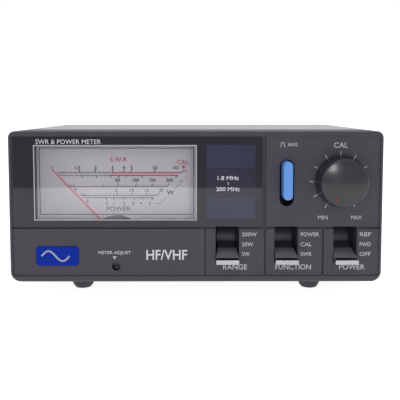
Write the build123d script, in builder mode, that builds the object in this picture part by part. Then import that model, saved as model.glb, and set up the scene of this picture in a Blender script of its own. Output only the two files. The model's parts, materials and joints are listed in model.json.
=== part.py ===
"""SWR and power meter for amateur radio: a moulded front with a moving-coil meter, a calibration
knob, a push button and three lever switches, on a steel case with two coaxial sockets at the back.

Millimetres. The front faces -Y, X is to the right and Z is up. The origin is at the bottom centre
of the whole object, so the feet stand on Z = 0. Heights named *_z are measured from the underside
of the body, and depths run backwards from the front plane of the moulding.
"""
from build123d import *
import os

# Body
BODY_W = 155.0
BODY_H = 63.0
BODY_D = 103.0
FOOT_H = 5.0
KNOB_OUT = 7.5
SOCKET_OUT = 14.0
TOP_R = 2.7
BOTTOM_R = 4.3
FRONT_Y = KNOB_OUT - (KNOB_OUT + BODY_D + SOCKET_OUT) / 2

# Front moulding
BEZEL_D = 22.0
BEZEL_WALL = 2.2
PLATE_T = 3.0
FIELD_DEPTH = 0.5
FIELD_BOTTOM_Z = 2.6
FIELD_TOP_Z = 61.1
FIELD_HALF_W = 76.2
GROOVE_DEPTH = 1.3
GROOVE_Z = 22.9
GROOVE_H = 1.0
GROOVE_END_Z = 3.2
GROOVE_W = 0.8
THIN_GROOVE_W = 0.5
LOWER_GROOVES = ((3.8, THIN_GROOVE_W), (28.7, GROOVE_W), (52.8, GROOVE_W))
UPPER_GROOVE_X = 28.4

# Window and meter
WINDOW_LEFT_X = -75.6
WINDOW_RIGHT_X = 27.4
WINDOW_BOTTOM_Z = 23.5
WINDOW_TOP_Z = 60.7
WINDOW_FRONT = 0.3
WINDOW_BACK = 2.0
METER_X = -33.3
METER_HALF_W = 36.6
METER_BOTTOM_Z = 3.2
METER_TOP_Z = 59.4
LENS_FRONT = 3.2
LENS_T = 1.6
CASE_WALL = 1.3
CASE_BACK = 29.5
DIAL_DEPTH = 12.0
DIAL_T = 0.5
PIVOT_Z = 16.5
COVER_R = 10.8
POINTER_LENGTH = 40.9
POINTER_DEPTH = 10.4
REST_ANGLE = 43.5
ZERO_SCREW_Z = 6.5
ZERO_PIN_OFFSET = 1.0
EAR_Z = 41.0
EAR_REACH = 4.4

# Calibration knob and its potentiometer
CAL_X = 60.0
CAL_Z = 42.3
KNOB_R = 10.9
KNOB_FACE_R = 9.7
KNOB_DOME = 0.8
SHAFT_R = 3.0
RUN_FIT = 0.05

# Push button
BUTTON_X = 37.4
BUTTON_Z = 43.0
BUTTON_W = 3.9
BUTTON_H = 15.8
BUTTON_OUT = 5.0
BUTTON_SLOT_X = 37.6
BUTTON_SLOT_Z = 41.6
BUTTON_SLOT_W = 6.0
BUTTON_SLOT_H = 19.4

# Lever switches
LEVER_X = (13.05, 37.5, 62.1)
LEVER_NAMES = ("range", "function", "power")
LEVER_Z = 15.8
LEVER_DEPTH = 18.0
LEVER_REACH = 22.7
LEVER_ANGLE = 17.0
SLOT_W = 9.8
SLOT_BOTTOM_Z = 8.3
SLOT_TOP_Z = 23.4
DRUM_R = 6.0
DRUM_W = 8.2
PIN_R = 1.0

# Sheet metal
SHEET = 1.2
COVER_SHEET = 1.0
FLANGE_H = 12.0

# Back panel sockets
SOCKET_X = 26.0
SOCKET_Z = 31.5
BARREL_R = 7.9375
FLANGE_W = 25.4
FLANGE_T = 2.0
FLANGE_HOLES = 18.2
FLANGE_SCREW_R = 1.5
CONTACT_R = 2.6
CONTACT_BORE_R = 2.0
JACK_X = -60.0
JACK_Z = 20.0
JACK_BORE_R = 2.75
JACK_PIN_R = 1.0
BOX_HALF_W = 44.0
BOX_HALF_H = 15.0
BOX_D = 26.0

# Control board
BOARD_DEPTH = 34.0
BOARD_T = 1.6
BOARD_X = (7.0, 74.0)
BOARD_Z = (4.0, 60.0)

# Feet
FOOT_X = 49.2
FOOT_TOP_R = 5.0
FOOT_BOTTOM_R = 3.4
FRONT_FOOT_DEPTH = 12.0
REAR_FOOT_DEPTH = 88.0
FOOT_STEM_R = 2.0


def face(depth):
    """Plane parallel to the front: X to the right, Y up, normal towards the user."""
    return Plane(origin=(0, FRONT_Y + depth, FOOT_H), x_dir=(1, 0, 0), z_dir=(0, -1, 0))


def side(x):
    """Plane across the object at that X: local X runs backwards from the front, local Y is up."""
    return Plane(origin=(x, FRONT_Y, FOOT_H), x_dir=(0, 1, 0), z_dir=(1, 0, 0))


def level(height):
    """Horizontal plane at that height over the body's underside."""
    return Plane.XY.offset(FOOT_H + height)


def save(part, name):
    """Label one finished piece and write it as a STEP file."""
    part.label = name
    export_step(part, f"parts/{name}.step")


def body_outline(inset, depth):
    """The body's rounded front outline, pulled in by inset."""
    with BuildSketch(face(depth)) as outline:
        with Locations((0, BODY_H / 2)):
            Rectangle(BODY_W - 2 * inset, BODY_H - 2 * inset)
        fillet(outline.vertices().group_by(Axis.Y)[0], radius=BOTTOM_R - inset)
        fillet(outline.vertices().group_by(Axis.Y)[-1], radius=TOP_R - inset)
    return outline.sketch


def spanned(depth, left, right, bottom, top, radius=0.0):
    """A rectangle between two X and two heights, with its corners rounded."""
    with BuildSketch(face(depth)) as rectangle:
        with Locations(((left + right) / 2, (bottom + top) / 2)):
            if radius:
                RectangleRounded(right - left, top - bottom, radius)
            else:
                Rectangle(right - left, top - bottom)
    return rectangle.sketch


def discs(depth, radius, places):
    """Circles of one radius at a list of places."""
    with BuildSketch(face(depth)) as sketch:
        with Locations(*places):
            Circle(radius)
    return sketch.sketch


def upright_slot(depth, x, z, width, height):
    """A slot with round ends, standing upright."""
    with BuildSketch(face(depth)) as slot:
        with Locations((x, z)):
            SlotOverall(height, width, rotation=90)
    return slot.sketch


def bezel_screw_places():
    """Where the four screws hold the moulding to the front wall of the chassis."""
    return [(-72.6, 6.0), (72.6, 6.0), (-72.6, 57.0), (72.6, 57.0)]


def ear_screw_places():
    """Where two screws hold the meter's ears to the moulding."""
    reach = METER_HALF_W + EAR_REACH / 2
    return [(METER_X - reach, EAR_Z), (METER_X + reach, EAR_Z)]


def make_front_bezel():
    boss_r = 2.2
    pilot_r = 1.1
    skirt_wall = 1.0
    skirt_back = 12.0
    with BuildPart() as bezel:
        extrude(body_outline(0, 0), amount=-BEZEL_D)
        fillet(bezel.faces().sort_by(Axis.Y)[0].edges(), radius=1.4)
        extrude(body_outline(BEZEL_WALL, PLATE_T), amount=PLATE_T - BEZEL_D, mode=Mode.SUBTRACT)
        field = spanned(0, -FIELD_HALF_W, FIELD_HALF_W, FIELD_BOTTOM_Z, FIELD_TOP_Z, 1.2)
        extrude(field, amount=-FIELD_DEPTH, mode=Mode.SUBTRACT)
        long_groove = spanned(0, -FIELD_HALF_W, FIELD_HALF_W, GROOVE_Z - GROOVE_H / 2,
                              GROOVE_Z + GROOVE_H / 2)
        extrude(long_groove, amount=-GROOVE_DEPTH, mode=Mode.SUBTRACT)
        for x, width in LOWER_GROOVES:
            groove = spanned(0, x - width / 2, x + width / 2, GROOVE_END_Z, GROOVE_Z)
            extrude(groove, amount=-GROOVE_DEPTH, mode=Mode.SUBTRACT)
        upper_groove = spanned(0, UPPER_GROOVE_X - 0.9, UPPER_GROOVE_X + 0.6, GROOVE_Z, FIELD_TOP_Z - 0.4)
        extrude(upper_groove, amount=-GROOVE_DEPTH, mode=Mode.SUBTRACT)
        pocket = spanned(0, WINDOW_LEFT_X, WINDOW_RIGHT_X, WINDOW_BOTTOM_Z, WINDOW_TOP_Z, 0.6)
        extrude(pocket, amount=-WINDOW_BACK, mode=Mode.SUBTRACT)
        view = spanned(0, METER_X - 35.4, METER_X + 35.4, 24.8, 58.6, 1.0)
        extrude(view, amount=-PLATE_T, mode=Mode.SUBTRACT)
        for x in LEVER_X:
            half = SLOT_W / 2
            skirt = spanned(PLATE_T, x - half - skirt_wall, x + half + skirt_wall,
                            SLOT_BOTTOM_Z - skirt_wall, SLOT_TOP_Z + skirt_wall)
            extrude(skirt, amount=PLATE_T - skirt_back)
            slot = spanned(0, x - half, x + half, SLOT_BOTTOM_Z, SLOT_TOP_Z)
            extrude(slot, amount=-skirt_back, mode=Mode.SUBTRACT)
        button_slot = upright_slot(0, BUTTON_SLOT_X, BUTTON_SLOT_Z, BUTTON_SLOT_W, BUTTON_SLOT_H)
        extrude(button_slot, amount=-PLATE_T, mode=Mode.SUBTRACT)
        extrude(discs(0, 3.7, [(CAL_X, CAL_Z)]), amount=-PLATE_T, mode=Mode.SUBTRACT)
        extrude(discs(0, 1.8, [(METER_X, ZERO_SCREW_Z)]), amount=-PLATE_T, mode=Mode.SUBTRACT)
        extrude(discs(PLATE_T, boss_r, bezel_screw_places()), amount=PLATE_T - BEZEL_D)
        extrude(discs(12.0, pilot_r, bezel_screw_places()), amount=12.0 - BEZEL_D, mode=Mode.SUBTRACT)
        extrude(discs(PLATE_T, 1.9, ear_screw_places()), amount=-(LENS_FRONT + 0.8 - PLATE_T))
        extrude(discs(2.4, 0.8, ear_screw_places()), amount=-3.0, mode=Mode.SUBTRACT)
        with BuildSketch(level(0)):
            with Locations(*[(x, FRONT_Y + FRONT_FOOT_DEPTH) for x in (-FOOT_X, FOOT_X)]):
                Circle(FOOT_STEM_R)
        extrude(amount=BEZEL_WALL, mode=Mode.SUBTRACT)
    return bezel.part


def make_meter_window():
    with BuildPart() as window:
        gap = 0.1
        sheet = spanned(WINDOW_FRONT, WINDOW_LEFT_X + gap, WINDOW_RIGHT_X - gap,
                        WINDOW_BOTTOM_Z + gap, WINDOW_TOP_Z - gap, 0.5)
        extrude(sheet, amount=WINDOW_FRONT - WINDOW_BACK)
        chamfer(window.faces().sort_by(Axis.Y)[0].edges(), length=0.25)
    return window.part


def make_badge_plate():
    with BuildPart() as badge:
        extrude(spanned(FIELD_DEPTH, -66.6, -48.8, 7.0, 15.2, 1.6), amount=0.4)
        chamfer(badge.faces().sort_by(Axis.Y)[0].edges(), length=0.15)
    return badge.part


def make_top_cover():
    with BuildPart() as cover:
        extrude(body_outline(0, BEZEL_D), amount=BEZEL_D - BODY_D)
        inner_h = BODY_H - COVER_SHEET
        hollow = spanned(BEZEL_D, COVER_SHEET - BODY_W / 2, BODY_W / 2 - COVER_SHEET, -1.0, inner_h, 0)
        extrude(hollow, amount=BEZEL_D - BODY_D, mode=Mode.SUBTRACT)
        for sign in (-1, 1):
            with BuildSketch(side(sign * BODY_W / 2)):
                with Locations(*cover_screw_places()):
                    Circle(1.6)
            extrude(amount=-sign * 2 * COVER_SHEET, mode=Mode.SUBTRACT)
    return cover.part


def cover_screw_places():
    """Depth and height of the two screws in each side of the cover."""
    return [(44.0, 7.5), (90.0, 7.5)]


def socket_screw_places():
    """Where the screws hold the two socket flanges."""
    half = FLANGE_HOLES / 2
    return [
        (sign * SOCKET_X + dx, SOCKET_Z + dz)
        for sign in (-1, 1)
        for dx in (-half, half)
        for dz in (-half, half)
    ]


def board_screw_places():
    """Where four standoffs carry the control board behind the chassis front wall."""
    return [(8.6, 35.0), (72.0, 28.5), (47.0, 57.0), (20.0, 57.0)]


def make_bottom_chassis():
    clear = 0.3
    half_w = BODY_W / 2 - COVER_SHEET - clear
    top_z = BODY_H - COVER_SHEET - clear
    with BuildPart() as chassis:
        extrude(spanned(BEZEL_D, -half_w, half_w, 0, top_z, 1.5), amount=-SHEET)
        extrude(spanned(BODY_D - SHEET, -half_w, half_w, 0, top_z, 1.5), amount=-SHEET)
        extrude(spanned(BEZEL_D, -half_w, half_w, 0, SHEET), amount=BEZEL_D - BODY_D)
        for sign in (-1, 1):
            left, right = sorted((sign * half_w, sign * (half_w - SHEET)))
            extrude(spanned(BEZEL_D, left, right, 0, FLANGE_H), amount=BEZEL_D - BODY_D)
            with BuildSketch(side(sign * half_w)):
                with Locations(*cover_screw_places()):
                    Circle(1.25)
            extrude(amount=-sign * SHEET, mode=Mode.SUBTRACT)
        margin = 0.8
        meter_hole = spanned(BEZEL_D, METER_X - METER_HALF_W - margin, METER_X + METER_HALF_W + margin,
                             METER_BOTTOM_Z - margin, METER_TOP_Z + margin)
        extrude(meter_hole, amount=-SHEET, mode=Mode.SUBTRACT)
        for x in LEVER_X:
            hole = spanned(BEZEL_D, x - 6.4, x + 6.4, LEVER_Z - 9.0, LEVER_Z + 9.0)
            extrude(hole, amount=-SHEET, mode=Mode.SUBTRACT)
        button_hole = spanned(BEZEL_D, BUTTON_X - 5, BUTTON_X + 5, BUTTON_Z - 6, BUTTON_Z + 6)
        extrude(button_hole, amount=-SHEET, mode=Mode.SUBTRACT)
        extrude(discs(BEZEL_D, 3.5, [(CAL_X, CAL_Z)]), amount=-SHEET, mode=Mode.SUBTRACT)
        extrude(discs(BEZEL_D, 1.5, bezel_screw_places()), amount=-SHEET, mode=Mode.SUBTRACT)
        extrude(discs(BEZEL_D, 1.25, board_screw_places()), amount=-SHEET, mode=Mode.SUBTRACT)
        socket_centres = [(-SOCKET_X, SOCKET_Z), (SOCKET_X, SOCKET_Z)]
        extrude(discs(BODY_D - SHEET, 8.0, socket_centres), amount=-SHEET, mode=Mode.SUBTRACT)
        extrude(discs(BODY_D - SHEET, FLANGE_SCREW_R, socket_screw_places()), amount=-SHEET,
                mode=Mode.SUBTRACT)
        extrude(discs(BODY_D - SHEET, 4.0, [(JACK_X, JACK_Z)]), amount=-SHEET, mode=Mode.SUBTRACT)
        with BuildSketch(level(0)):
            with Locations(*[(x, FRONT_Y + REAR_FOOT_DEPTH) for x in (-FOOT_X, FOOT_X)]):
                Circle(FOOT_STEM_R)
        extrude(amount=SHEET, mode=Mode.SUBTRACT)
    return chassis.part


def make_rubber_feet():
    """Four rubber feet, each with a stem that is pushed through the wall above it."""
    with BuildPart() as feet:
        for depth, wall in ((FRONT_FOOT_DEPTH, BEZEL_WALL), (REAR_FOOT_DEPTH, SHEET)):
            for x in (-FOOT_X, FOOT_X):
                centre = (x, FRONT_Y + depth, 0)
                with BuildSketch(Plane(origin=centre, x_dir=(1, 0, 0), z_dir=(0, -1, 0))):
                    with BuildLine():
                        Line((0, 0), (FOOT_BOTTOM_R, 0))
                        ThreePointArc((FOOT_BOTTOM_R, 0), (FOOT_TOP_R - 0.45, FOOT_H * 0.38),
                                      (FOOT_TOP_R, FOOT_H))
                        Polyline((FOOT_TOP_R, FOOT_H), (FOOT_STEM_R, FOOT_H),
                                 (FOOT_STEM_R, FOOT_H + wall),
                                 (0, FOOT_H + wall), (0, 0))
                    make_face()
                revolve(axis=Axis(centre, (0, 0, 1)))
    return feet.part


def turned(depth_centre, points):
    """A solid turned about an axis along Y at that X and height; points are (depth, radius)."""
    x, z = depth_centre
    with BuildPart() as solid:
        with BuildSketch(Plane(origin=(x, FRONT_Y, FOOT_H + z), x_dir=(0, 1, 0), z_dir=(0, 0, 1))):
            with BuildLine():
                Polyline(*points, close=True)
            make_face()
        revolve(axis=Axis((x, FRONT_Y, FOOT_H + z), (0, 1, 0)))
    return solid.part


def pan_screw(place, head_depth, head_r, head_t, shank_r, length, towards=-1):
    """A pan-head screw. towards -1 points the tip at the user, 1 at the back."""
    tip = head_depth + towards * length
    top = head_depth - towards * head_t
    profile = [(tip, 0), (tip, shank_r), (head_depth, shank_r), (head_depth, head_r), (top, head_r),
               (top, 0)]
    with BuildPart() as screw:
        add(turned(place, profile))
        rim = screw.edges().filter_by(GeomType.CIRCLE).group_by(Axis.Y)[0 if towards > 0 else -1]
        fillet(rim, radius=head_t * 0.35)
        cross_plane = face(top)
        with BuildSketch(cross_plane):
            with Locations(place):
                Rectangle(head_r * 1.1, head_r * 0.28)
                Rectangle(head_r * 0.28, head_r * 1.1)
        extrude(amount=towards * head_t * 0.5, both=True, mode=Mode.SUBTRACT)
    return screw.part


def make_bezel_screws():
    with BuildPart() as screws:
        for place in bezel_screw_places():
            add(pan_screw(place, BEZEL_D + SHEET, 2.4, 1.6, 1.1, 9.0))
    return screws.part


def make_ear_screws():
    ear_back = LENS_FRONT + 0.8 + 2.0
    with BuildPart() as screws:
        for place in ear_screw_places():
            add(pan_screw(place, ear_back, 1.7, 1.2, 0.8, 3.4))
    return screws.part


def make_cover_screws():
    """Four screws in the sides of the case, with low heads."""
    shank_r = 1.25
    head_r = 2.6
    head_t = 1.0
    with BuildPart() as screws:
        for sign in (-1, 1):
            for depth, z in cover_screw_places():
                outer = Plane(origin=(sign * BODY_W / 2, FRONT_Y + depth, FOOT_H + z), x_dir=(0, 1, 0),
                              z_dir=(sign, 0, 0))
                with BuildSketch(outer):
                    Circle(shank_r)
                extrude(amount=-5.0)
                with BuildSketch(outer):
                    Circle(head_r)
                extrude(amount=head_t, taper=18)
                with BuildSketch(outer.offset(head_t)):
                    Rectangle(head_r * 1.1, head_r * 0.28)
                    Rectangle(head_r * 0.28, head_r * 1.1)
                extrude(amount=-head_t * 0.6, mode=Mode.SUBTRACT)
    return screws.part


def make_cal_knob():
    """Knob with a domed face, a rounded rim and a hollow back with a shaft boss."""
    centre = (CAL_X, CAL_Z)
    base = FIELD_DEPTH - 0.4
    front = -KNOB_OUT
    rim = front + KNOB_DOME
    with BuildPart() as knob:
        with BuildSketch(Plane(origin=(CAL_X, FRONT_Y, FOOT_H + CAL_Z), x_dir=(0, 1, 0),
                               z_dir=(0, 0, 1))):
            with BuildLine():
                Polyline((front, 0.5), (front, 0), (base, 0), (base, KNOB_R))
                Line((base, KNOB_R), (rim + 0.9, KNOB_FACE_R + 0.05))
                ThreePointArc((rim + 0.9, KNOB_FACE_R + 0.05), (rim + 0.25, KNOB_FACE_R - 0.2),
                              (rim, KNOB_FACE_R - 0.8))
                ThreePointArc((rim, KNOB_FACE_R - 0.8), (front + KNOB_DOME * 0.27, 4.6), (front, 0.5))
            make_face()
        revolve(axis=Axis((CAL_X, FRONT_Y, FOOT_H + CAL_Z), (0, 1, 0)))
        with BuildSketch(face(base)):
            with Locations(centre):
                Circle(KNOB_R - 1.8)
                Circle(SHAFT_R + 1.6, mode=Mode.SUBTRACT)
        extrude(amount=3.6, mode=Mode.SUBTRACT)
        extrude(discs(base, SHAFT_R, [centre]), amount=4.2, mode=Mode.SUBTRACT)
    return knob.part


def make_cal_pot_shaft():
    with BuildPart() as shaft:
        extrude(discs(-4.1, SHAFT_R, [(CAL_X, CAL_Z)]), amount=-(4.1 + 31.0))
        with BuildSketch(face(30.0)):
            with Locations((CAL_X, CAL_Z)):
                Circle(6.0)
        extrude(amount=-0.8)
        chamfer(shaft.faces().sort_by(Axis.Y)[0].edges(), length=0.3)
    return shaft.part


def make_cal_pot_body():
    centre = (CAL_X, CAL_Z)
    body_front = BEZEL_D + SHEET
    with BuildPart() as pot:
        extrude(discs(body_front, 8.2, [centre]), amount=body_front - 33.0)
        extrude(discs(14.0, 3.5, [centre]), amount=14.0 - body_front)
        for x in (-5.0, 0.0, 5.0):
            lug = spanned(29.0, CAL_X + x - 0.8, CAL_X + x + 0.8, CAL_Z - 12.0, CAL_Z - 7.0)
            extrude(lug, amount=-0.8)
        extrude(discs(14.0, SHAFT_R + RUN_FIT, [centre]), amount=14.0 - 31.2, mode=Mode.SUBTRACT)
        extrude(discs(27.0, 7.0, [centre]), amount=-4.4, mode=Mode.SUBTRACT)
    return pot.part


def make_cal_pot_nut():
    with BuildPart() as nut:
        with BuildSketch(face(BEZEL_D)):
            with Locations((CAL_X, CAL_Z)):
                RegularPolygon(5.5, 6, major_radius=False)
                Circle(3.5, mode=Mode.SUBTRACT)
        extrude(amount=2.2)
    return nut.part


def make_avg_button():
    back = 8.0
    with BuildPart() as button:
        extrude(upright_slot(back, BUTTON_X, BUTTON_Z, BUTTON_W, BUTTON_H), amount=back + BUTTON_OUT)
        fillet(button.faces().sort_by(Axis.Y)[0].edges(), radius=0.6)
    return button.part


def make_avg_plunger():
    with BuildPart() as plunger:
        stem = spanned(8.0, BUTTON_X - 1.9, BUTTON_X + 1.9, BUTTON_Z - 1.9, BUTTON_Z + 1.9)
        extrude(stem, amount=-16.0)
    return plunger.part


def make_avg_switch_body():
    """Push switch behind the button, with a square bore for the plunger."""
    front = 13.0
    with BuildPart() as body:
        extrude(spanned(front, BUTTON_X - 4, BUTTON_X + 4, BUTTON_Z - 4, BUTTON_Z + 4, 0.6),
                amount=front - BOARD_DEPTH)
        bore = spanned(front, BUTTON_X - 2.0, BUTTON_X + 2.0, BUTTON_Z - 2.0, BUTTON_Z + 2.0)
        extrude(bore, amount=-16.0, mode=Mode.SUBTRACT)
    return body.part


def lever_plane(x, reach):
    """Plane across a lever at its rest angle: normal along the lever, out to the user."""
    tilt = LEVER_ANGLE
    origin = Vector(x, FRONT_Y + LEVER_DEPTH, FOOT_H + LEVER_Z)
    outward = Vector(0, -1, 0).rotate(Axis.X, tilt)
    return Plane(origin=origin + outward * reach, x_dir=(1, 0, 0), z_dir=outward)


def make_lever_arm(x):
    """The switch's drum, bored for its pin, with a flat stem that the knob is pushed onto."""
    stem_w = 7.6
    stem_t = 1.6
    with BuildPart() as arm:
        with BuildSketch(side(x - DRUM_W / 2)):
            with Locations((LEVER_DEPTH, LEVER_Z)):
                Circle(DRUM_R)
        extrude(amount=DRUM_W)
        with BuildSketch(lever_plane(x, 0)):
            Rectangle(stem_w, stem_t)
        extrude(amount=LEVER_REACH - 6.0)
        with BuildSketch(side(x - DRUM_W / 2)):
            with Locations((LEVER_DEPTH, LEVER_Z)):
                Circle(PIN_R + RUN_FIT)
        extrude(amount=DRUM_W, mode=Mode.SUBTRACT)
    return arm.part


def make_lever_knob(x):
    """A flat plastic knob that widens towards its end, with a pocket for the stem."""
    root_reach = LEVER_REACH - 10.3
    end_reach = LEVER_REACH - 2.0
    with BuildPart() as knob:
        with BuildSketch(lever_plane(x, root_reach)):
            RectangleRounded(8.5, 2.3, 0.4)
        with BuildSketch(lever_plane(x, end_reach)):
            RectangleRounded(9.5, 2.0, 0.4)
        loft()
        with BuildSketch(lever_plane(x, root_reach)):
            Rectangle(7.6, 1.6)
        extrude(amount=LEVER_REACH - 6.0 - root_reach, mode=Mode.SUBTRACT)
    return knob.part


def make_lever_tip(x):
    """The bright cap across the end of a lever knob."""
    with BuildPart() as tip:
        with BuildSketch(lever_plane(x, LEVER_REACH - 2.0)):
            RectangleRounded(9.6, 2.1, 0.35)
        extrude(amount=2.0)
        fillet(tip.faces().sort_by(Axis.Y)[0].edges(), radius=0.3)
    return tip.part


def make_lever_switch_body(x):
    """Two cheeks that carry the pin, joined by a block that holds the contacts."""
    cheek = 1.0
    gap = 4.5
    cheek_front = 12.6
    block_front = 26.0
    with BuildPart() as body:
        block = spanned(block_front, x - gap - cheek, x + gap + cheek, LEVER_Z - 7.5, LEVER_Z + 7.5)
        extrude(block, amount=block_front - BOARD_DEPTH)
        for sign in (-1, 1):
            left, right = sorted((x + sign * gap, x + sign * (gap + cheek)))
            plate = spanned(cheek_front, left, right, LEVER_Z - 7.5, LEVER_Z + 7.5)
            extrude(plate, amount=cheek_front - block_front)
        with BuildSketch(side(x - gap - cheek)):
            with Locations((LEVER_DEPTH, LEVER_Z)):
                Circle(PIN_R)
        extrude(amount=2 * (gap + cheek), mode=Mode.SUBTRACT)
    return body.part


def make_lever_pins():
    """One steel pin across each lever switch."""
    with BuildPart() as pins:
        for x in LEVER_X:
            with BuildSketch(side(x - 5.5)):
                with Locations((LEVER_DEPTH, LEVER_Z)):
                    Circle(PIN_R)
            extrude(amount=11.0)
    return pins.part


def make_meter_lens():
    """Clear front of the meter, with a shallow rim and a hole for the zero screw."""
    back = LENS_FRONT + LENS_T + 1.4
    with BuildPart() as lens:
        outer = spanned(LENS_FRONT, METER_X - METER_HALF_W + 0.6, METER_X + METER_HALF_W - 0.6,
                        METER_BOTTOM_Z + 0.6, METER_TOP_Z - 0.6, 1.0)
        extrude(outer, amount=LENS_FRONT - back)
        inner = spanned(LENS_FRONT + LENS_T, METER_X - METER_HALF_W + 1.8, METER_X + METER_HALF_W - 1.8,
                        METER_BOTTOM_Z + 1.8, METER_TOP_Z - 1.8)
        extrude(inner, amount=LENS_FRONT + LENS_T - back, mode=Mode.SUBTRACT)
        extrude(discs(LENS_FRONT, 1.4 + RUN_FIT, [(METER_X, ZERO_SCREW_Z)]), amount=-LENS_T,
                mode=Mode.SUBTRACT)
    return lens.part


def make_meter_case():
    """Open-fronted moulding around the movement, with ledges for the dial and ears for screws."""
    front = LENS_FRONT + LENS_T + 1.4
    with BuildPart() as case:
        outer = spanned(front, METER_X - METER_HALF_W, METER_X + METER_HALF_W, METER_BOTTOM_Z,
                        METER_TOP_Z, 1.0)
        extrude(outer, amount=front - CASE_BACK)
        inner = spanned(front, METER_X - METER_HALF_W + CASE_WALL, METER_X + METER_HALF_W - CASE_WALL,
                        METER_BOTTOM_Z + CASE_WALL, METER_TOP_Z - CASE_WALL)
        extrude(inner, amount=front - CASE_BACK + CASE_WALL, mode=Mode.SUBTRACT)
        for sign in (-1, 1):
            wall = METER_X + sign * (METER_HALF_W - CASE_WALL)
            left, right = sorted((wall, wall - sign * 1.8))
            ledge = spanned(DIAL_DEPTH + DIAL_T, left, right, 30.0, 52.0)
            extrude(ledge, amount=DIAL_DEPTH + DIAL_T - CASE_BACK)
            arm_left, arm_right = sorted((METER_X + sign * METER_HALF_W,
                                          METER_X + sign * (METER_HALF_W + EAR_REACH)))
            ear_front = LENS_FRONT + 0.8
            with BuildSketch(face(ear_front)):
                with Locations(((arm_left + arm_right) / 2, EAR_Z)):
                    Rectangle(EAR_REACH, 7.0)
            extrude(amount=-2.0)
            rib = spanned(front, arm_left, arm_right, EAR_Z - 3.5, EAR_Z - 2.5)
            extrude(rib, amount=-6.0)
        extrude(discs(LENS_FRONT, 0.8, ear_screw_places()), amount=-4.0, mode=Mode.SUBTRACT)
        wrap = spanned(LENS_FRONT + 0.8, METER_X - METER_HALF_W, METER_X + METER_HALF_W, EAR_Z - 3.5,
                       EAR_Z + 3.5)
        lens_room = spanned(LENS_FRONT, METER_X - METER_HALF_W + 0.6, METER_X + METER_HALF_W - 0.6,
                            METER_BOTTOM_Z + 0.6, METER_TOP_Z - 0.6)
        extrude(wrap, amount=LENS_FRONT + 0.8 - front)
        extrude(lens_room, amount=LENS_FRONT - front, mode=Mode.SUBTRACT)
        boss_places = [(METER_X + dx, PIVOT_Z + 7.0) for dx in (-6.6, 6.6)]
        extrude(discs(25.0, 1.6, boss_places), amount=25.0 - CASE_BACK)
        extrude(discs(CASE_BACK - CASE_WALL, 1.6, meter_stud_places()), amount=-CASE_WALL,
                mode=Mode.SUBTRACT)
    return case.part


def meter_stud_places():
    """Where the meter's two electrical studs leave its back."""
    return [(METER_X - 18.0, 30.0), (METER_X + 18.0, 30.0)]


def make_meter_studs():
    with BuildPart() as studs:
        extrude(discs(CASE_BACK - 4.0, 1.6, meter_stud_places()), amount=-12.0)
        with BuildSketch(face(CASE_BACK)):
            with Locations(*meter_stud_places()):
                RegularPolygon(2.75, 6, major_radius=False)
        extrude(amount=-2.2)
    return studs.part


def make_dial_plate():
    with BuildPart() as dial:
        plate = spanned(DIAL_DEPTH, METER_X - METER_HALF_W + CASE_WALL + 0.1,
                        METER_X + METER_HALF_W - CASE_WALL - 0.1,
                        22.4, METER_TOP_Z - CASE_WALL - 0.1)
        extrude(plate, amount=-DIAL_T)
    return dial.part


def make_pivot_cover():
    """Round shade in front of the pivot, on a leg from the front bridge."""
    with BuildPart() as cover:
        extrude(discs(6.4, COVER_R, [(METER_X, PIVOT_Z)]), amount=-0.8)
        extrude(discs(7.2, 1.2, bridge_post_places()), amount=-1.0)
        extrude(discs(6.4, 2.2, [(METER_X, ZERO_SCREW_Z)]), amount=-2.0, mode=Mode.SUBTRACT)
    return cover.part


def bridge_post_places():
    """Posts at both sides of the pivot, clear of the pointer's sweep."""
    return [(METER_X - 9.8, PIVOT_Z), (METER_X + 9.8, PIVOT_Z)]


def make_pivot_bridge():
    """Front and rear bars with their jewel screws, and posts to the yoke."""
    with BuildPart() as bridge:
        for front, thickness in ((8.2, 1.0), (26.2, 1.2)):
            bar = spanned(front, METER_X - 11.3, METER_X + 11.3, PIVOT_Z - 2.0, PIVOT_Z + 2.0, 1.0)
            extrude(bar, amount=-thickness)
            extrude(discs(front, 1.2, [(METER_X, PIVOT_Z)]), amount=-thickness, mode=Mode.SUBTRACT)
        extrude(discs(9.2, 1.2, bridge_post_places()), amount=-5.8)
        extrude(discs(25.0, 1.2, bridge_post_places()), amount=-1.2)
        jewels = [(METER_X, PIVOT_Z)]
        extrude(discs(7.3, 1.2, jewels), amount=-2.2)
        extrude(discs(25.9, 1.2, jewels), amount=-1.7)
        extrude(discs(8.9, 0.35, jewels), amount=-0.7, mode=Mode.SUBTRACT)
        extrude(discs(25.8, 0.35, jewels), amount=-0.7, mode=Mode.SUBTRACT)
    return bridge.part


def make_meter_yoke():
    """Soft-iron ring around the coil, with a web that carries the core."""
    with BuildPart() as yoke:
        with BuildSketch(face(15.0)):
            with Locations((METER_X, PIVOT_Z)):
                Circle(11.5)
                Circle(8.0, mode=Mode.SUBTRACT)
        extrude(amount=-10.0)
        web = spanned(16.5, METER_X - 1.2, METER_X + 1.2, PIVOT_Z - 8.4, PIVOT_Z - 4.6)
        extrude(web, amount=-7.0)
    return yoke.part


def make_meter_magnet():
    """Cylindrical magnet inside the coil, bored for the coil's staff."""
    with BuildPart() as magnet:
        extrude(discs(16.0, 5.4, [(METER_X, PIVOT_Z)]), amount=-8.0)
        pocket = spanned(16.5, METER_X - 1.2, METER_X + 1.2, PIVOT_Z - 5.6, PIVOT_Z - 4.6)
        extrude(pocket, amount=-7.0, mode=Mode.SUBTRACT)
    return magnet.part


def swung(depth):
    """Plane parallel to the front, centred on the pivot, with local Y along the pointer at rest."""
    across = Vector(1, 0, 0).rotate(Axis.Y, -REST_ANGLE)
    return Plane(origin=(METER_X, FRONT_Y + depth, FOOT_H + PIVOT_Z), x_dir=across, z_dir=(0, -1, 0))


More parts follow.
